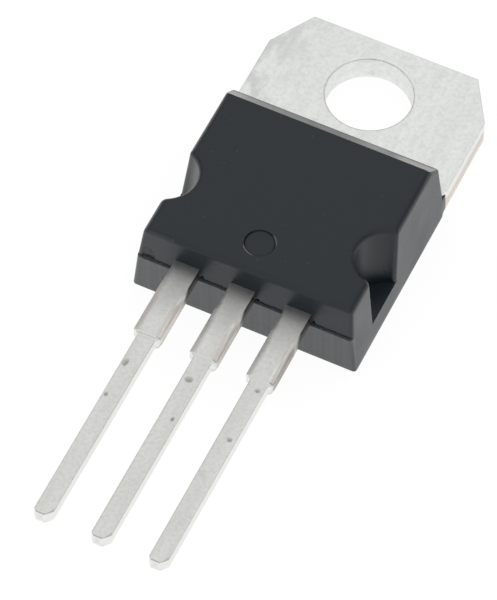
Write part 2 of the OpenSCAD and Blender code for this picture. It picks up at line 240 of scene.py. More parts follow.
def line(a, b, count):
    """Points from a towards b without b: a + (b - a) * k / count, for arrays of ends."""
    k = np.arange(count) / count
    return a[..., None, :] + (b - a)[..., None, :] * k[:, None]


def arc(centre, radius, start, stop, count):
    """Points round a centre from one angle towards another, without the last, in degrees."""
    a = np.radians(start + (stop - start) * np.arange(count) / count)
    ring = np.stack(np.broadcast_arrays(np.cos(a), np.sin(a)), -1)
    return centre[..., None, :] + radius[..., None, None] * ring


# ---- moulded body

# Points along each stretch of the body's outline, none more than 0.07 mm apart
SIDE_LOW, NOTCH, SIDE_HIGH, CORNER, TAB_SIDE, LEAD_SIDE = 34, 72, 96, 12, 150, 260


def pair(x, y):
    """Points of x and y, which may be arrays."""
    return np.stack(np.broadcast_arrays(x, y), -1)


def side_outline(half, top, bottom, corner, notch):
    """Right side of the outline at many heights, from the lead side's corner to the tab side.

    A straight side is cut by the notch's circle from its place along y less to its place plus
    sqrt(radius^2 - (axis - side)^2). Where flat is true the cut is closed by the straight side.
    """
    notch_x, notch_y, notch_r, flat = notch
    reach = np.sqrt(np.maximum(notch_r ** 2 - (notch_x - half) ** 2, 1e-6))
    turn = np.degrees(np.arctan2(reach, notch_x - half))
    k = np.arange(NOTCH) / NOTCH
    angle = np.radians(180 + turn[:, None] * (1 - 2 * k))
    round_cut = pair(notch_x[:, None] + notch_r[:, None] * np.cos(angle),
                     -notch_y[:, None] + notch_r[:, None] * np.sin(angle))
    straight = line(pair(half, -notch_y - reach), pair(half, -notch_y + reach), NOTCH)
    cut = np.where(flat[:, None, None], straight, round_cut)
    x, y0, y1 = half - corner, bottom + corner, top - corner
    return np.concatenate([
        line(pair(half, y0), pair(half, -notch_y - reach), SIDE_LOW),
        cut,
        line(pair(half, -notch_y + reach), pair(half, y1), SIDE_HIGH),
        arc(pair(x, y1), corner, 0, 90, CORNER),
    ], 1)


def body_outline(half, top, bottom, corner, notches):
    """Outline of the body at many heights, shape (rows, points, 2), counter-clockwise.

    Each is a rectangle with rounded corners, cut at both sides by a notch. The left side is
    worked out as a right one and mirrored.
    """
    right, left = (side_outline(half, top, bottom, corner, notch) for notch in notches)
    x, y0 = half - corner, bottom + corner
    front = line(pair(x, top), pair(-x, top), TAB_SIDE)
    left_end = pair(-x, top)[:, None]
    mirrored = np.concatenate([left_end, left[:, :0:-1] * [-1, 1]], 1)
    back = line(pair(-x, bottom), pair(x, bottom), LEAD_SIDE)
    foot = arc(pair(x, y0), corner, 270, 360, CORNER)
    left_foot = arc(pair(-x, y0), corner, 180, 270, CORNER)
    return np.concatenate([right, front, mirrored, left_foot, back, foot], 1)


def soften(points, width):
    """Running mean over a few neighbours along the outline, which rounds its corners."""
    total = sum(np.roll(points, k, axis=1) for k in range(-width, width + 1))
    return total / (2 * width + 1)


def bump(value, low, high, edge):
    """1 between low and high, falling to 0 over edge on each side."""
    rise = np.clip((value - low) / edge + 0.5, 0, 1)
    fall = np.clip((high - value) / edge + 0.5, 0, 1)
    return rise * fall


def rounding(radius, into):
    """What a rounding takes off its side at a depth into it: radius - sqrt(radius^2 - depth^2)."""
    return radius - np.sqrt(radius ** 2 - np.clip(into, 0, radius) ** 2)


def cone_radius(z, floor_r, front_r, rim):
    """Radius of a notch at heights z.

    The cone widens evenly from floor_r at the tab's level to front_r at the front face. Within the
    last rim of height it follows a quarter circle that leaves the cone at a tangent and ends flat.
    """
    height, tab_t = BODY_HIGH[2], TAB_HIGH[2]
    flare = np.arctan2(front_r - floor_r, height - tab_t)
    rim_x = front_r + rim * np.tan((np.pi / 2 - flare) / 2)
    cone = floor_r + (z - tab_t) * np.tan(flare)
    swing = np.arcsin(np.clip(1 - (height - z) / rim, -1, 1))
    return np.where(swing > flare, rim_x - rim * np.cos(swing), cone)


def notch_cuts(z, s):
    """Right and left notch at heights z.

    Each is the distance of its axis from the middle and from the hole, its radius, and whether the
    height lies under its floor. The right axis leans: its offset grows evenly with height above
    the tab. The left axis is upright.
    """
    up = np.clip((z - TAB_HIGH[2]) / (BODY_HIGH[2] - TAB_HIGH[2]), 0, 1)
    front_r, rim = s["notch_front_r"], s["notch_rim_r"]
    right_r = cone_radius(z, s["right_floor_r"], front_r, rim)
    left_r = cone_radius(z, s["left_floor_r"], front_r, rim)
    right_x = s["notch_x"] - s["right_lean_x"] * up
    right_y = s["notch_y"] - s["right_lean_y"] * up
    left_x = np.full_like(z, s["notch_x"] + s["left_out"])
    left_y = np.full_like(z, s["notch_y"] - s["left_up"])
    right = (right_x, right_y, right_r, z < s["right_floor_z"])
    left = (left_x, left_y, left_r, z < s["left_floor_z"])
    return right, left


def body_levels(s):
    """Heights of the body's rows, and what bounds the body at each.

    Returns the heights, half width, tab side, lead side, corner radius and how far the front
    edge's rounding draws the sides in. Each pair of rows 0.01 mm apart makes a step.
    """
    height, tab_t, parting = BODY_HIGH[2], TAB_HIGH[2], LEAD_LOW[2]
    foot, step = 0.05, 0.01
    edge, lead_edge, fill_h = s["edge_r"], s["lead_edge_r"], s["fill_h"]
    left_floor, right_floor = s["left_floor_z"], s["right_floor_z"]
    rise = np.radians(np.linspace(0, 90, 14))
    z = np.concatenate([
        [0.0, foot * 0.3, foot],
        np.linspace(foot, left_floor - step, 5)[1:],
        np.linspace(left_floor, fill_h - step, 3),
        [fill_h, right_floor - step, right_floor],
        np.linspace(tab_t, parting - step, 8),
        np.linspace(parting, height - lead_edge, 32),
        height - lead_edge * (1 - np.sin(rise[1:])),
    ])
    inset, front_inset = rounding(foot, foot - z), rounding(edge, z - height + edge)
    half = BODY_HIGH[0] + (s["front_half"] - BODY_HIGH[0]) * z / height - inset - front_inset
    chamfer_z = height - s["chamfer"]
    lean = np.clip((z - tab_t) / (chamfer_z - tab_t), 0, 1)
    top = -s["top_y"] - s["top_lean"] * lean - np.maximum(z - chamfer_z, 0) - inset
    low_wall = BODY_LOW[1] + s["bottom_bulge"] * (1 - z / parting)
    up_share = (z - parting) / (height - parting)
    high_wall = BODY_LOW[1] + s["step"] + (s["bottom_lean"] - s["step"]) * up_share
    lead_inset = rounding(lead_edge, z - height + lead_edge)
    bottom = np.where(z < parting, low_wall, high_wall) + inset + lead_inset
    corner = np.maximum(s["corner_r"] - inset - front_inset, 0.01)
    return z, half, top, bottom, corner, front_inset


def raised(rows, heights):
    """Rows of flat points, each row lifted to its own height."""
    lifted = np.broadcast_to(np.reshape(heights, (-1, 1, 1)), rows.shape[:2] + (1,))
    return np.concatenate([rows, lifted], -1)


def front_rows(plain, ring, s):
    """Rows that fill the front face: from its outline to an inner ring, then to the pin mark.

    The inner ring is the plain outline, without notches, drawn in towards the notches' line. Each
    row is a straight blend of the rings on its two sides, so the rows never cross. The pin mark's
    rows are circles, at the radii and depths of its profile.
    """
    height = BODY_HIGH[2]
    narrowed, shortened_low, shortened_high = 0.62, 0.88, 0.7
    middle = np.array([0.0, -s["notch_y"]])
    shortened = np.where(plain[:, 1:] < middle[1], shortened_low, shortened_high)
    shrink = np.concatenate([np.full((len(plain), 1), narrowed), shortened], 1)
    inner = middle + (plain - middle) * shrink
    pin = np.array([-s["pin_x"], -s["pin_y"]])
    away = inner - pin
    away /= np.linalg.norm(away, axis=1)[:, None]
    rim, deep = s["pin_r"], s["pin_depth"]
    around_pin = pin + away * (rim + 0.06)
    blend = np.linspace(0, 1, 8)[1:]
    rows = [ring + (inner - ring) * t for t in blend]
    rows += [inner + (around_pin - inner) * t for t in blend]
    heights = [height] * len(rows)
    profile = ((rim + 0.04, 0), (rim + 0.01, 0.01), (rim, 0.035), (rim - 0.02, 0.55 * deep),
               (rim - 0.04, 0.75 * deep), (rim - 0.08, 0.9 * deep), (rim - 0.15, deep),
               (rim * 0.5, deep), (rim * 0.25, deep))
    for radius, down in profile:
        rows.append(pin + away * radius)
        heights.append(height - down)
    return raised(np.stack(rows), heights)


def back_rows(foot, s):
    """Rows that fill the back: its outline shrunk towards the middle by set shares.

    Over the tab's neck and tongue they lie a little way in, so the metal shows there.
    """
    sunk, neck_length = 0.03, 1.0
    middle = np.array([0.0, -8.0])
    rows = np.stack([middle + (foot - middle) * t for t in (0.1, 0.4, 0.7, 0.8, 0.88, 0.95)])
    out, along = np.abs(rows[..., 0]), rows[..., 1]
    neck = (out < NECK_HALF) & (along > -s["fill_y"] - neck_length)
    tongue = (out < TONGUE_HALF) & (along > TAB_LOW[1])
    return np.concatenate([rows, np.where(neck | tongue, sunk, 0.0)[..., None]], -1)


def ragged(x):
    """Uneven value between 0 and 1 along x: a sum of sines with unrelated periods."""
    wave = np.sin(9.7 * x + 0.4) + np.sin(23.1 * x + 1.9) + 0.7 * np.sin(41.3 * x)
    return np.clip(0.5 + 0.24 * wave, 0, 1)


def lead_side_relief(x, z, s):
    """Depth of the hollows in the lead side: gate mark, voids at the leads, torn parting line.

    The gate mark is a pocket with an upright outline and a round top, and with a lump in it that
    falls off as exp(-distance^2). The voids are slots above the parting line, and the tear is a
    ragged ledge that fades out above it.
    """
    parting = LEAD_LOW[2]
    gate_x, gate_half, gate_h, gate_depth, gate_edge = -4.4, 0.26, 0.74, 0.05, 0.06
    lump_right, lump_down, lump_height, lump_spread = 0.05, 0.12, 0.04, 0.018
    void_edge, void_depth, tear_height = 0.05, 0.06, 0.15
    voids = ((-2.0, -1.9, 0.26), (-0.76, -0.66, 0.15), (0.54, 0.64, 0.24), (3.08, 3.18, 0.26))
    above = z >= parting
    dome_z = parting + gate_h - gate_half
    distance = np.hypot(x - gate_x, np.maximum(z - dome_z, 0))
    pocket = np.clip((gate_half - distance) / gate_edge + 0.5, 0, 1) * above
    lump_away = (x - gate_x - lump_right) ** 2 + (z - dome_z + lump_down) ** 2
    depth = pocket * (gate_depth - lump_height * np.exp(-lump_away / lump_spread))
    for left, right, tall in voids:
        depth += bump(x, left, right, void_edge) * above * (z < parting + tall) * void_depth
    ledge = above * np.clip(1 - (z - parting) / tear_height, 0, 1)
    return depth + ledge * s["torn"] * ragged(x)


def fill_shoulders(sides, z, top, s):
    """Moves the low rows' corners back onto the resin that crept in behind the tab's shoulders."""
    shoulder_x, corner_reach, clearance = 4.54, 0.2, 0.005
    low = (z < s["fill_h"] - clearance)[:, None]
    at_corner = (np.abs(sides[..., 0]) > shoulder_x) & (sides[..., 1] > top[:, None] - corner_reach)
    crept = low & at_corner
    sides[..., 1] += crept * (-s["fill_y"] - top)[:, None]
    drawn_in = np.clip(sides[..., 0], -s["fill_half"], s["fill_half"])
    sides[..., 0] = np.where(crept, drawn_in, sides[..., 0])


def wall_rows(s):
    """Rows of the body's sides from back to front, and the front outline without its notches.

    Towards the tab side each row gets back a share of what the front edge's rounding took, so the
    chamfer ends in sharp corners. The lead side is set back by its relief, and the rows slide
    sideways in proportion to their height.
    """
    kept_sharp, lead_side_reach, softened = 0.45, 0.3, 3
    z, half, top, bottom, corner, roll = body_levels(s)
    notches = notch_cuts(z, s)
    sides = soften(body_outline(half, top, bottom, corner, notches), softened)
    near_tab = np.clip(1 - (top[:, None] - sides[..., 1]) / s["sharp_end"], 0, 1)
    sides[..., 0] *= 1 + kept_sharp * (roll / half)[:, None] * near_tab
    height = np.broadcast_to(z[:, None], sides.shape[:2])
    lead_wall = sides[..., 1] < bottom[:, None] + lead_side_reach
    sides[..., 1] += lead_side_relief(sides[..., 0], height, s) * lead_wall
    sides[..., 0] += s["front_shift"] * z[:, None] / BODY_HIGH[2]
    fill_shoulders(sides, z, top, s)
    closed = [tuple(value[-1:] for value in notch[:3]) + (np.array([True]),) for notch in notches]
    plain = body_outline(half[-1:], top[-1:], bottom[-1:], corner[-1:], closed)[0]
    return raised(sides, z), plain


def painted_sheen_mask(points, s):
    """How much painted sheen lightens the resin at each point, from 0 to 1.

    The sheen is painted light: on the lower mould half, unevenly along the chamfer, faintly near
    the left end of the lead side above, and as painted highlights at two arcs of the pin mark's
    rim, set by their bearings in degrees.
    """
    x, y, z = points[..., 0], points[..., 1], points[..., 2]
    front, parting = BODY_HIGH[2], LEAD_LOW[2]
    from_pin = np.hypot(x + s["pin_x"], y + s["pin_y"])
    turn = np.degrees(np.arctan2(y + s["pin_y"], x + s["pin_x"]))
    rim = (np.abs(from_pin - s["pin_r"] - 0.02) < 0.03) & (z > front - 0.1)
    arcs = bump(turn, -143, -92, 14) + 0.6 * bump(turn, 14, 56, 14)
    fade_in = np.clip(3 * ((z - front) / s["chamfer"] + 1), 0, 1) * (z < front - 0.01)
    slope = front - s["chamfer"] - s["top_y"] - s["top_lean"]
    chamfer = (y + z > slope - 0.03) * fade_in
    chamfer_sheen = 0.45 * bump(x, 3.1, 6.0, 0.5) + 0.1 * bump(x, -6.0, -3.9, 0.3) + 0.04 * (x < -1)
    lead_side = (y < BODY_LOW[1] + 0.3) & (z > 0.05)
    lower = lead_side & (z < parting + 0.001)
    upper = lead_side & ~lower
    # Painted sheen: highlights on two arcs of the pin mark's rim, and light reflected along the chamfer.
    painted_sheen = 0.38 * rim * arcs + chamfer * (0.17 + 0.1 * np.abs(x - 0.5) + chamfer_sheen)
    # Painted sheen where light brightens the lower mould half, and faintly the left end of the band above.
    painted_sheen += lower * (0.12 + 0.055 * ragged(x)) + upper * 0.04 * bump(x, -5.4, -3.4, 0.6)
    return painted_sheen


def body_points(s):
    """Grid of the body's points, shape (rows, points, 3), from the back's middle to the pin mark.

    Rows of equal height follow the body's outline up its sides. The back and the front face are
    filled with rows that shrink towards their middles.
    """
    walls, plain = wall_rows(s)
    foot, ring = walls[0, :, :2], walls[-1, :, :2]
    return np.concatenate([back_rows(foot, s), walls, front_rows(plain, ring, s)])


# ---- tab

def inset_corners(corners, inset):
    """Corners of a counter-clockwise polygon drawn in by a distance, each on its mitre."""
    ahead = np.roll(corners, -1, axis=0) - corners
    ahead /= np.linalg.norm(ahead, axis=1)[:, None]
    inward = np.stack([-ahead[:, 1], ahead[:, 0]], -1)
    before = np.roll(inward, 1, axis=0)
    return corners + inset * (inward + before) / (1 + (inward * before).sum(1))[:, None]


def bearings(corners):
    """Directions of points as seen from the origin, in radians."""
    return np.arctan2(corners[:, 1], corners[:, 0])


def ray_reach(corners, theta):
    """Distance from the origin to a star-shaped polygon along each bearing.

    Along the edge from p to q, the ray of direction d meets it at (p x q) / (d x (q - p)).
    """
    order = np.argsort(bearings(corners))
    corners = corners[order]
    edge = (np.searchsorted(bearings(corners), theta, side="right") - 1) % len(corners)
    p, q = corners[edge], corners[(edge + 1) % len(corners)]
    d = np.stack([np.cos(theta), np.sin(theta)], -1)
    cross = lambda a, b: a[:, 0] * b[:, 1] - a[:, 1] * b[:, 0]
    return (cross(p, q) / cross(d, q - p))[:, None]


def tab_points(s):
    """Grid of the spreader's points: a closed section carried round the mounting hole.

    Row by row the section runs up the hole's wall, over its rim, out across the front, over the
    punched edge, down the side and back along the underside. Returns the points and how far each
    lies in the sheared lower part of the side, from 0 to 1.
    """
    w, t = TAB_HIGH[0], TAB_HIGH[2]
    end, tip = TAB_HIGH[1], TAB_LOW[1]
    cut_x, cut_y = 1.2, 2.04
    shoulder, neck_end, slant_x, slant_y = -3.18, -4.18, 0.16, 0.37
    half = np.array([
        [w - cut_x, end], [w, end - cut_y], [w, shoulder], [w - slant_x, shoulder - slant_y],
        [NECK_HALF, shoulder - 0.4], [NECK_HALF, neck_end], [TONGUE_HALF, neck_end], [TONGUE_HALF, tip],
    ])
    hole, rim_roll, roll = s["hole_r"], s["rim_r"], s["edge_r"]
    burr, support = 0.03, 0.02
    corners = np.concatenate([half[::-1], half * [-1, 1]])
    insets = (0.0, burr, burr + support, roll, roll + support)
    drawn_in = {inset: inset_corners(corners, inset) for inset in insets}
    even = np.linspace(-np.pi, np.pi, 360, endpoint=False)
    theta = np.unique(np.concatenate([even, *(bearings(c) for c in drawn_in.values())]))
    ray = np.stack([np.cos(theta), np.sin(theta)], -1)
    rim, burr_edge, burr_in, roll_edge, roll_in = (ray * ray_reach(c, theta) for c in drawn_in.values())
    rows, bare = [], []

    def add(xy, z, copper=0.0):
        """Adds a ring at one height and how bare of plate it is."""
        rows.append(np.concatenate([xy, np.full((len(xy), 1), z)], 1))
        bare.append(np.full(len(xy), copper))

    for z in np.linspace(burr, t - rim_roll, 5):
        add(ray * hole, z, 0.1)
    for a in np.radians([30, 60, 90]):
        add(ray * (hole + rim_roll * (1 - np.cos(a))), t - rim_roll * (1 - np.sin(a)))
    hole_edge = ray * (hole + rim_roll + support)
    for k in np.linspace(0, 1, 8):
        add(hole_edge + (roll_in - hole_edge) * k, t)
    add(roll_edge, t)
    for a in np.radians([60, 30, 0]):
        add(rim + (roll_edge - rim) * (1 - np.cos(a)), t - roll * (1 - np.sin(a)))
    for z, copper in ((0.62, 0.0), (0.5, 1.0), (0.3, 1.0), (burr, 0.7)):
        add(rim, t * z if z > burr else burr, copper)
    add(burr_edge, 0.0, 0.3)
    hole_edge = ray * (hole + burr + support)
    for k in np.linspace(1, 0, 5):
        add(hole_edge + (burr_in - hole_edge) * k, 0.0)
    add(ray * (hole + burr), 0.0)
    return np.stack(rows), np.stack(bare)


# ---- leads

# Points across a lead's top. Five down its right side, four under it and five up its left follow.
LEAD_TOP = 17


def lead_stations(x_mid, near, far, end_l, end_r):
    """Stations of a lead: distance from the hole, left and right edge, left and right bevel.

    Inside the body its end runs from near to far between its own two edges, and its root follows.
    """
    root, wide, narrow, shift, soft, step = 0.575, 0.625, 0.4, 0.06, 0.02, 0.01
    tip = -LEAD_LOW[1]
    root_l, root_r = x_mid - root - shift, x_mid + root - shift
    wide_l, wide_r = x_mid - wide - shift, x_mid + wide - shift
    left, right = x_mid - narrow, x_mid + narrow
    flare = 0.05 if x_mid else 0.0
    return np.array([
        (near, end_l, end_r, soft, soft),
        (far, end_l, end_r, soft, soft),
        (far + step, root_l, root_r, soft, soft),
        (12.4, root_l, root_r, 0.05, 0.03),
        (13.0, root_l - flare * 0.2, root_r, 0.12, 0.04),
        (13.55, root_l - flare * 0.4, root_r, 0.18, 0.05),
        (13.9, wide_l, wide_r - 0.01, 0.22, 0.07),
        (14.1, wide_l, wide_r, 0.24, 0.14),
        (14.5, wide_l, wide_r, 0.28, 0.26),
        (16.2, wide_l, wide_r, 0.28, 0.28),
        (16.27, wide_l + 0.01, wide_r - 0.01, 0.26, 0.26),
        (16.3, wide_l + 0.05, wide_r - 0.03, 0.12, 0.16),
        (16.34, left - 0.16, right + 0.16, 0.08, 0.12),
        (16.42, left - 0.08, right + 0.12, 0.06, 0.1),
        (16.5, left, right + 0.02, 0.05, 0.06),
        (16.6, left, right, 0.03, 0.02),
        (tip - 0.31, left, right, 0.03, 0.02),
        (tip - 0.15, left, right - 0.12, 0.03, 0.02),
        (tip - 0.05, left + 0.08, right - 0.22, 0.03, 0.02),
        (tip, left + 0.13, right - 0.3, 0.03, 0.02),
    ])


def lead_side(edge, bevel, inwards):
    """One side of a lead's section, from its bevel down to its foot: five points across and up.

    The bevel drops by half its width, and its middle by 0.4 of that, so it is a little round.
    """
    low, high = LEAD_LOW[2], LEAD_HIGH[2]
    soft, shear_h, gap = 0.025, 0.3, 0.01
    drop = np.maximum(0.5 * bevel, soft)
    shear = np.minimum(low + shear_h, high - drop - gap)
    foot = np.full_like(edge, low)
    x = np.concatenate([edge + inwards * bevel * 0.5, edge, edge, edge, edge + inwards * soft], 1)
    z = np.concatenate([high - drop * 0.4, high - drop, shear, foot + soft, foot], 1)
    return x, z


def lead_section(left, right, bevel_l, bevel_r):
    """Closed section of a lead at every station: over its top, down, under and up again."""
    across, under = np.linspace(0, 1, LEAD_TOP)[None], np.linspace(0, 1, 6)[None, 1:-1]
    right_x, right_z = lead_side(right, bevel_r, -1)
    left_x, left_z = (value[:, ::-1] for value in lead_side(left, bevel_l, 1))
    top_x = left + bevel_l + (right - bevel_r - left - bevel_l) * across
    under_x = right_x[:, -1:] + (left_x[:, :1] - right_x[:, -1:]) * under
    top_z, under_z = np.full(top_x.shape, LEAD_HIGH[2]), np.full(under_x.shape, LEAD_LOW[2])
    return (np.concatenate([top_x, right_x, under_x, left_x], 1),
            np.concatenate([top_z, right_z, under_z, left_z], 1))


def lead_finish(y, width, side_darkening):
    """Finish of a lead at each point of its grid, from the distance y to the hole.

    Bare is where shearing laid copper open. The darkening mask holds painted shade down the right
    side near the body, across the top before the tip, along the tip's narrowed right edge and, once
    pressed, in the dents, plus the sheared side painted darker by the lead's own amount. Shade is
    the painted shade: how far the plate darkens towards the body, as a power of the distance. Edge
    is a painted highlight on the cut sides and tip.
    """
    tip = -LEAD_LOW[1]
    bare, painted_shade_and_dark_side, edge = np.zeros((3, len(y), width))
    bare[:, LEAD_TOP - 1:LEAD_TOP + 4] = bump(y, 14.0, 16.35, 0.3)[:, None] * [[0.3, 0.5, 0.6, 0.9, 0.9]]
    # Painted shade down the lead's right side and bevel near the body, where the body shades it.
    painted_shade_and_dark_side[:, LEAD_TOP:LEAD_TOP + 4] = bump(y, 11.0, 13.8, 0.5)[:, None] * [[0.9, 1.0, 0.6, 0.4]]
    # The sheared right side is painted darker along the wide part, by the lead's own amount.
    painted_shade_and_dark_side[:, LEAD_TOP + 1:LEAD_TOP + 4] += side_darkening * bump(y, 14.3, 16.3, 0.2)[:, None]
    # Painted shade in a thin line across the top just before the tip, where its edge rolls over.
    painted_shade_and_dark_side[:, :LEAD_TOP] += 0.45 * bump(y, tip - 0.05, tip - 0.015, 0.01)[:, None]
    # Painted shade along the top's right end where the tip's chamfer narrows it.
    painted_shade_and_dark_side[:, LEAD_TOP - 2:LEAD_TOP] += 0.3 * bump(y, tip - 0.36, tip - 0.06, 0.06)[:, None]
    # Painted highlight: the sides and underside from the shoulder on, and the tip's end face, are painted
    # brighter.
    edge[:, LEAD_TOP + 1:] = bump(y, 16.2, tip + 1, 0.3)[:, None]
    edge[-1] = 1.0
    darkened = 0.72 * np.clip((15.6 - y) / 2.95, 0, 1) ** 1.2
    shade = np.repeat(darkened[:, None], width, 1)
    shade[:, LEAD_TOP:] *= 0.5
    return {"bare": bare, "painted_shade_and_dark_side": painted_shade_and_dark_side, "shade": shade, "edge": edge}


def lead_points(course, crease, side_darkening):
    """Grid of a lead's points and its finish: a bevelled section carried from root to tip.

    Course holds what lead_stations takes. The edges and bevels between two stations are straight
    blends. A crease of the given depth crosses the shoulder, and the tip's top edge rolls over by
    a quarter circle. The side darkening sets how much darker the sheared side is painted.
    """
    tip, roll = -LEAD_LOW[1], 0.07
    table = lead_stations(*course)
    y = np.unique(np.concatenate([
        table[:, 0], np.arange(12.6, 20.2, 0.05), np.arange(20.2, tip, 0.25), np.linspace(tip - 0.08, tip, 6),
    ]))
    x, z = lead_section(*(np.interp(y, table[:, 0], table[:, k])[:, None] for k in range(1, 5)))
    z[:, :LEAD_TOP] -= crease * bump(y, 16.33, 16.37, 0.04)[:, None]
    z -= rounding(roll, y - tip + roll)[:, None] * (z > LEAD_HIGH[2] - 0.06)
    points = np.stack([x, np.broadcast_to(-y[:, None], x.shape), z], -1)
    return points, lead_finish(y, x.shape[1], side_darkening)


def press_dent(points, finish, x, y, half_x, half_y):
    """Presses an oval hollow into the top: its depth falls off as 1 - d^2, d in half axes.

    Painted shade darkens it by the same formula.
    """
    depth, dent_shade = 0.06, 0.45
    d2 = ((points[..., 0] - x) / half_x) ** 2 + ((points[..., 1] - y) / half_y) ** 2
    on_top = points[..., 2] > LEAD_HIGH[2] - 0.01
    hollow = np.clip(1 - d2, 0, 1) * on_top
    points[..., 2] -= depth * hollow
    finish["painted_shade_and_dark_side"] += dent_shade * hollow


# ---- materials

def node_group(name, amount, outputs, build):
    """Shader node group with one float input, an amount of 1.0, and the named float outputs.

    It is built on first use, and found by its name from then on.
    """
    group = bpy.data.node_groups.get(name)
    if group:
        return group
    group = bpy.data.node_groups.new(name, "ShaderNodeTree")
    socket = group.interface.new_socket(amount, in_out="INPUT", socket_type="NodeSocketFloat")
    socket.default_value = 1.0
    for label in outputs:
        group.interface.new_socket(label, in_out="OUTPUT", socket_type="NodeSocketFloat")
    build(group.nodes, group.links, group.nodes.new("NodeGroupInput"), group.nodes.new("NodeGroupOutput"))
    return group


def noise(nodes, links, vector, scale, detail, stretch=None):
    """Noise texture on a vector, stretched by a Mapping node where a stretch is given."""
    texture = nodes.new("ShaderNodeTexNoise")
    texture.inputs["Scale"].default_value = scale
    texture.inputs["Detail"].default_value = detail
    if stretch:
        mapping = nodes.new("ShaderNodeMapping")
        mapping.inputs["Scale"].default_value = stretch
        links.new(vector, mapping.inputs["Vector"])
        vector = mapping.outputs["Vector"]
    links.new(vector, texture.inputs["Vector"])
    return texture.outputs["Fac"]


def remap(nodes, links, value, low, high, to_low=0.0, to_high=1.0):
    """Map Range node from one span to another."""
    node = nodes.new("ShaderNodeMapRange")
    for label, end in (("From Min", low), ("From Max", high), ("To Min", to_low), ("To Max", to_high)):
        node.inputs[label].default_value = end
    links.new(value, node.inputs["Value"])
    return node.outputs["Result"]


def patches(nodes, links, vector, scale, detail, low, high, stretch=None):
    """Mask from 0 to 1 that rises evenly while the noise goes from low to high."""
    return remap(nodes, links, noise(nodes, links, vector, scale, detail, stretch), low, high)


def attribute(nodes, name):
    """Value of one of the mesh's point attributes."""
    node = nodes.new("ShaderNodeAttribute")
    node.attribute_name = name
    return node.outputs["Fac"]


def math(nodes, links, kind, a, b):
    """Math node on two values, each a socket or a number."""
    node = nodes.new("ShaderNodeMath")
    node.operation = kind
    for socket, value in zip(node.inputs, (a, b)):
        if isinstance(value, (int, float)):
            socket.default_value = value
        else:
            links.new(value, socket)
    return node.outputs[0]


def mix(nodes, links, factor, a, b):
    """Mix Color node between two colours, each a socket or a triple."""
    node = nodes.new("ShaderNodeMix")
    node.data_type = "RGBA"
    links.new(factor, node.inputs[0])
    for socket, value in ((node.inputs[6], a), (node.inputs[7], b)):
        if isinstance(value, tuple):
            socket.default_value = (*value, 1.0)
        else:
            links.new(value, socket)
    return node.outputs[2]


def grain_group():
    """Fine grain of moulded resin or worn plate: a height, a speck mask and a cloudy shade."""
    def build(nodes, links, given, out):
        at = nodes.new("ShaderNodeTexCoord").outputs["Object"]
        fine = math(nodes, links, "MULTIPLY", noise(nodes, links, at, 9000.0, 3.0), 0.6)
        coarse = math(nodes, links, "MULTIPLY", noise(nodes, links, at, 2200.0, 4.0), 0.4)
        speck = patches(nodes, links, at, 5200.0, 1.0, 0.76, 0.8)
        links.new(math(nodes, links, "ADD", fine, coarse), out.inputs["Height"])
        links.new(math(nodes, links, "MULTIPLY", speck, given.outputs["Specks"]), out.inputs["Speck"])
        links.new(patches(nodes, links, at, 420.0, 5.0, 0.3, 0.7), out.inputs["Cloud"])
    return node_group("surface grain", "Specks", ("Height", "Speck", "Cloud"), build)


def streak_group():
    """Rolling and handling marks of plated strip: streaks along Y, fine scratches and stains.

    Scuffs join the stains from 2.4 mm left of the middle on, and fully from 4.6 mm.
    """
    def build(nodes, links, given, out):
        at = nodes.new("ShaderNodeTexCoord").outputs["Object"]
        split = nodes.new("ShaderNodeSeparateXYZ")
        links.new(at, split.inputs[0])
        leftwards = remap(nodes, links, split.outputs["X"], -0.0024, -0.0046)
        scuff = patches(nodes, links, at, 1700.0, 7.0, 0.47, 0.62, (1.0, 0.45, 1.0))
        stain = math(nodes, links, "MAXIMUM", patches(nodes, links, at, 1500.0, 8.0, 0.62, 0.8),
                     math(nodes, links, "MULTIPLY", leftwards, scuff))
        masks = {
            "Streak": patches(nodes, links, at, 2600.0, 4.0, 0.3, 0.7, (1.0, 0.12, 1.0)),
            "Scratch": patches(nodes, links, at, 9000.0, 2.0, 0.42, 0.62, (1.0, 0.07, 1.0)),
            "Mottle": patches(nodes, links, at, 6500.0, 3.0, 0.3, 0.6),
            "Stain": math(nodes, links, "MULTIPLY", stain, given.outputs["Stains"]),
        }
        for label, mask in masks.items():
            links.new(mask, out.inputs[label])
    return node_group("rolled plate", "Stains", ("Streak", "Scratch", "Mottle", "Stain"), build)


def group_node(nodes, group, **values):
    """Places a node group and sets its inputs."""
    node = nodes.new("ShaderNodeGroup")
    node.node_tree = group
    for label, value in values.items():
        node.inputs[label].default_value = value
    return node.outputs


def new_material(name):
    """Empty node material with its Principled shader."""
    material = bpy.data.materials.new(name)
    material.use_nodes = True
    tree = material.node_tree
    return material, tree.nodes, tree.links, tree.nodes["Principled BSDF"]


def add_bump(nodes, links, shader, height, distance):
    """Bump from a height that feeds the shader's normal."""
    node = nodes.new("ShaderNodeBump")
    node.inputs["Distance"].default_value = distance * MM
    links.new(height, node.inputs["Height"])
    links.new(node.outputs["Normal"], shader.inputs["Normal"])


def tone(value, factor):
    """A colour times a factor, as a plain triple."""
    return tuple(min(1.0, c * factor) for c in value)


def resin_material(s):
    """Black moulding compound: fine grain, a few pale filler specks and a faint cloudiness."""
    material, nodes, links, shader = new_material("moulding compound")
    grain = group_node(nodes, grain_group(), Specks=0.5)
    shader.inputs["IOR"].default_value = s.ior
    base = tuple(s.resin)
    cloudy = mix(nodes, links, grain["Cloud"], tone(base, 0.85), tone(base, 1.2))
    specked = mix(nodes, links, grain["Speck"], cloudy, (0.05, 0.055, 0.055))
    # Painted sheen: a pale colour mixed in where light and reflections brighten the resin.
    sheen_painted = mix(nodes, links, attribute(nodes, "painted_sheen"), specked, tuple(s.sheen_colour))
    links.new(sheen_painted, shader.inputs["Base Color"])
    links.new(remap(nodes, links, grain["Cloud"], 0, 1, s.roughness - 0.04, s.roughness + 0.05),
              shader.inputs["Roughness"])
    add_bump(nodes, links, shader, grain["Height"], 0.012)
    return material


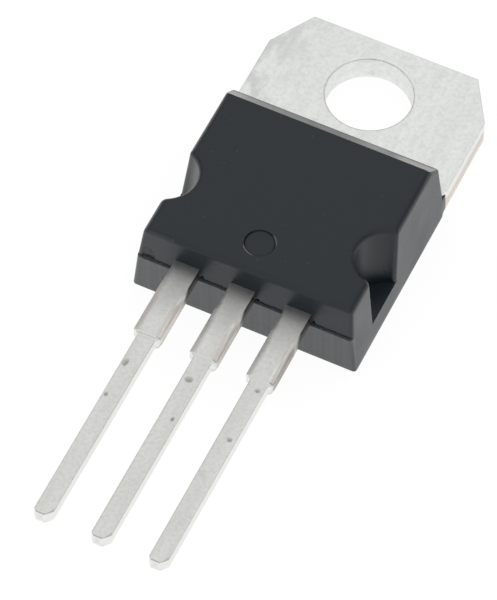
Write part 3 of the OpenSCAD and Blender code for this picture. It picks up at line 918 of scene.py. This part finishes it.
def plate_material(name, plate, s, stains, bare, torn):
    """Dull tin plate with rolling streaks and stains, and copper where shearing laid it bare.

    Torn is how strongly bright scratches cross the bare copper.
    """
    material, nodes, links, shader = new_material(name)
    marks = group_node(nodes, streak_group(), Stains=stains)
    grain = group_node(nodes, grain_group(), Specks=0.0)
    base = tuple(plate)
    clean = mix(nodes, links, marks["Streak"], tone(base, 0.98), tone(base, 1.02))
    mottled = mix(nodes, links, marks["Mottle"], tone(base, 0.9), clean)
    stained = mix(nodes, links, marks["Stain"], mottled, tone(base, 0.64))
    # Painted highlight: the edge mask brightens the leads' cut sides and tip end.
    brightened = mix(nodes, links, attribute(nodes, "edge"), stained, tone(base, 1.13))
    shown = math(nodes, links, "MULTIPLY", attribute(nodes, "bare"), bare)
    scratch = math(nodes, links, "MULTIPLY", marks["Scratch"], torn)
    scratched = mix(nodes, links, scratch, tone(s.copper, 1 - 0.15 * torn), tone(base, 1.25))
    sheared = mix(nodes, links, shown, brightened, scratched)
    shaded = mix(nodes, links, attribute(nodes, "shade"), sheared, tone(base, 0.2))
    # Painted shade in a near-black colour from the darkening mask, which also darkens the leads' sheared
    # side.
    shade_and_dark_side_mixed = mix(nodes, links, attribute(nodes, "painted_shade_and_dark_side"), shaded, (0.07, 0.062, 0.055))
    links.new(shade_and_dark_side_mixed, shader.inputs["Base Color"])
    links.new(remap(nodes, links, marks["Streak"], 0, 1, s.roughness + 0.06, s.roughness - 0.05),
              shader.inputs["Roughness"])
    shader.inputs["Metallic"].default_value = 1.0
    add_bump(nodes, links, shader, grain["Height"], 0.006)
    return material


def inner_material(name, base, metallic, roughness, spread):
    """Finish of a sealed inner piece: its colour varies a little with the grain's clouds."""
    material, nodes, links, shader = new_material(name)
    grain = group_node(nodes, grain_group(), Specks=0.0)
    links.new(mix(nodes, links, grain["Cloud"], tone(base, 1 - spread), tone(base, 1 + spread)),
              shader.inputs["Base Color"])
    shader.inputs["Metallic"].default_value = metallic
    shader.inputs["Roughness"].default_value = roughness
    add_bump(nodes, links, shader, grain["Height"], 0.004)
    return material


def floor_material(s):
    """Pale matt floor, which the camera and mirrors see mixed with an even glow like paper's.

    The glow's share is 1 - shadow, so a smaller shadow setting makes fainter shadows.
    """
    material, nodes, links, shader = new_material("pale floor")
    shader.inputs["Base Color"].default_value = (*s.floor, 1.0)
    shader.inputs["Roughness"].default_value = 0.9
    shader.inputs["Specular IOR Level"].default_value = 0.0
    seen = nodes.new("ShaderNodeLightPath").outputs
    mirrored = math(nodes, links, "MAXIMUM", seen["Is Glossy Ray"], seen["Is Transmission Ray"])
    direct = math(nodes, links, "MAXIMUM", seen["Is Camera Ray"], mirrored)
    white = nodes.new("ShaderNodeEmission")
    white.inputs["Strength"].default_value = s.paper
    blend = nodes.new("ShaderNodeMixShader")
    links.new(math(nodes, links, "MULTIPLY", direct, 1.0 - s.shadow), blend.inputs[0])
    links.new(shader.outputs[0], blend.inputs[1])
    links.new(white.outputs[0], blend.inputs[2])
    links.new(blend.outputs[0], nodes["Material Output"].inputs["Surface"])
    return material


def even_sky(s):
    """World that is white overhead and towards -Y, and of the low sky's colour elsewhere."""
    world = bpy.data.worlds.new("even light")
    world.use_nodes = True
    nodes, links = world.node_tree.nodes, world.node_tree.links
    sky = nodes["Background"]
    sky.inputs["Strength"].default_value = s.sky
    split = nodes.new("ShaderNodeSeparateXYZ")
    links.new(nodes.new("ShaderNodeTexCoord").outputs["Generated"], split.inputs[0])
    overhead = remap(nodes, links, split.outputs["Z"], 0.4, 0.65)
    ahead = remap(nodes, links, split.outputs["Y"], -0.1, -0.6)
    bright = math(nodes, links, "MAXIMUM", overhead, ahead)
    links.new(mix(nodes, links, bright, tuple(s.horizon), (1.0, 1.0, 1.0)), sky.inputs["Color"])
    return world


def in_mm(settings, *names):
    """The named length settings as millimetres."""
    return {name: getattr(settings, name) / MM for name in names}


# ---- operators

class TRIAC_OT_body(Operator):
    """Build the moulded body with its notches, pin mark and lead side"""
    bl_idname = "triac.body"
    bl_label = "Moulded body"

    def execute(self, context):
        settings = context.scene.triac_body
        finishes = ("resin", "sheen_colour", "roughness", "ior")
        lengths = [name for name in TRIAC_PG_body.__annotations__ if name not in finishes]
        sizes = in_mm(settings, *lengths)
        points = body_points(sizes)
        piece = surface("body_surface", points, attributes={"painted_sheen": painted_sheen_mask(points, sizes)})
        place(piece, "moulded_body", "mould_resin", resin_material(settings))
        return {"FINISHED"}


class TRIAC_OT_tab(Operator):
    """Build the plated heat spreader with its mounting hole"""
    bl_idname = "triac.tab"
    bl_label = "Heat spreader"

    def execute(self, context):
        settings = context.scene.triac_metal
        points, bare = tab_points(in_mm(settings, "hole_r", "rim_r", "edge_r"))
        piece = surface("tab_surface", points[:, ::-1], wrap_rows=True, attributes={"bare": bare[:, ::-1]})
        place(piece, "heat_spreader", "tinned_tab",
              plate_material("tab plate", settings.tin, settings, 0.5, 0.9, 0.25))
        return {"FINISHED"}


class TRIAC_OT_leads(Operator):
    """Build the three tinned leads with their bevels, burrs and dents"""
    bl_idname = "triac.leads"
    bl_label = "Leads"

    def execute(self, context):
        settings = context.scene.triac_metal
        material = plate_material("lead plate", settings.lead_tin, settings, 0.35, 0.9, 1.0)
        pitch, near, far, end_l, end_r = 2.54, 10.8, 11.8, LEAD_LOW[0], LEAD_HIGH[0]
        pad_near, pad_far, pad_half = 4.8, 10.2, 3.0
        leads = {
            "lead_main_1": ((-pitch, near, far, end_l, end_r), 0.02, 0.1,
                            [(-2.77, -17.93, 0.13, 0.24), (-2.79, -19.67, 0.08, 0.14)]),
            "lead_main_2": ((0.0, pad_near, pad_far, -pad_half, pad_half), 0.006, 0.2,
                            [(-0.09, -17.56, 0.19, 0.17), (0.15, -19.59, 0.06, 0.15)]),
            "lead_gate": ((pitch, near, far, -end_r, -end_l), 0.006, 0.5,
                          [(2.64, -16.84, 0.12, 0.12), (2.64, -19.46, 0.12, 0.13)]),
        }
        for node, (course, crease, side_darkening, dents) in leads.items():
            points, finish = lead_points(course, crease, side_darkening)
            for dent in dents:
                press_dent(points, finish, *dent)
            piece = surface(node + "_surface", points, attributes=finish)
            place(piece, node, "tinned_leads", material)
        return {"FINISHED"}


class TRIAC_OT_inner(Operator):
    """Give the sealed inner pieces their finishes"""
    bl_idname = "triac.inner"
    bl_label = "Inner pieces"

    def execute(self, context):
        finishes = (
            ("solder", (0.5, 0.5, 0.51), 1.0, 0.45, 0.08,
             ("spreader_solder", "pad_solder", "die_solder", "clip_solder", "clip_end_solder")),
            ("bare copper", (0.72, 0.42, 0.3), 1.0, 0.35, 0.06,
             ("lower_copper", "upper_copper", "main_clip")),
            ("alumina", (0.86, 0.85, 0.81), 0.0, 0.55, 0.03, ("ceramic_insulator",)),
            ("silicon", (0.16, 0.17, 0.2), 0.6, 0.2, 0.04, ("triac_die",)),
            ("junction glass", (0.42, 0.5, 0.4), 0.0, 0.15, 0.05, ("passivation_glass",)),
            ("contact metal", (0.8, 0.8, 0.79), 1.0, 0.3, 0.04,
             ("main_contact", "gate_contact", "gate_wire")),
        )
        for name, base, metallic, roughness, spread, nodes in finishes:
            material = inner_material(name, base, metallic, roughness, spread)
            for node in nodes:
                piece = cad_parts[node]
                piece.data.materials.clear()
                piece.data.materials.append(material)
        return {"FINISHED"}


class TRIAC_OT_stage(Operator):
    """Set the pale floor, the even light and the camera"""
    bl_idname = "triac.stage"
    bl_label = "Stage"

    def execute(self, context):
        scene, s = context.scene, context.scene.triac_stage
        half, drop = s.floor_size / 2, 0.00002
        mesh = bpy.data.meshes.new("floor")
        corners = ((-half, -half), (half, -half), (half, half), (-half, half))
        mesh.from_pydata([(x, y, -drop) for x, y in corners], [], [(0, 1, 2, 3)])
        mesh.materials.append(floor_material(s))
        floor = bpy.data.objects.new("floor", mesh)
        scene.collection.objects.link(floor)
        scene.world = even_sky(s)
        camera = bpy.data.objects.new("camera", bpy.data.cameras.new("camera"))
        scene.collection.objects.link(camera)
        camera.location = s.place
        camera.rotation_euler = s.turn
        camera.data.lens = s.lens
        scene.camera = camera
        scene.view_settings.view_transform = "Standard"
        return {"FINISHED"}


GROUPS = {"triac_body": TRIAC_PG_body, "triac_metal": TRIAC_PG_metal, "triac_stage": TRIAC_PG_stage}
STEPS = (TRIAC_OT_body, TRIAC_OT_tab, TRIAC_OT_leads, TRIAC_OT_inner, TRIAC_OT_stage)


class TRIAC_PT_panel(Panel):
    """Lists the triac's steps and settings"""
    bl_idname = "TRIAC_PT_panel"
    bl_label = "Triac"
    bl_space_type = "VIEW_3D"
    bl_region_type = "UI"
    bl_category = "Triac"

    def draw(self, context):
        for step in STEPS:
            self.layout.operator(step.bl_idname)
        for name, group in GROUPS.items():
            box = self.layout.box()
            for key in group.__annotations__:
                box.prop(getattr(context.scene, name), key)


CLASSES = (*GROUPS.values(), *STEPS, TRIAC_PT_panel)


def register():
    """Registers the classes and their settings on the scene."""
    for cls in CLASSES:
        bpy.utils.register_class(cls)
    for name, group in GROUPS.items():
        setattr(bpy.types.Scene, name, PointerProperty(type=group))


def unregister():
    """Removes the settings and the classes."""
    for name in GROUPS:
        delattr(bpy.types.Scene, name)
    for cls in reversed(CLASSES):
        bpy.utils.unregister_class(cls)


def main():
    """Registers the add-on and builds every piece."""
    register()
    bpy.ops.triac.body()
    bpy.ops.triac.tab()
    bpy.ops.triac.leads()
    bpy.ops.triac.inner()
    bpy.ops.triac.stage()


if __name__ == "__main__":
    main()
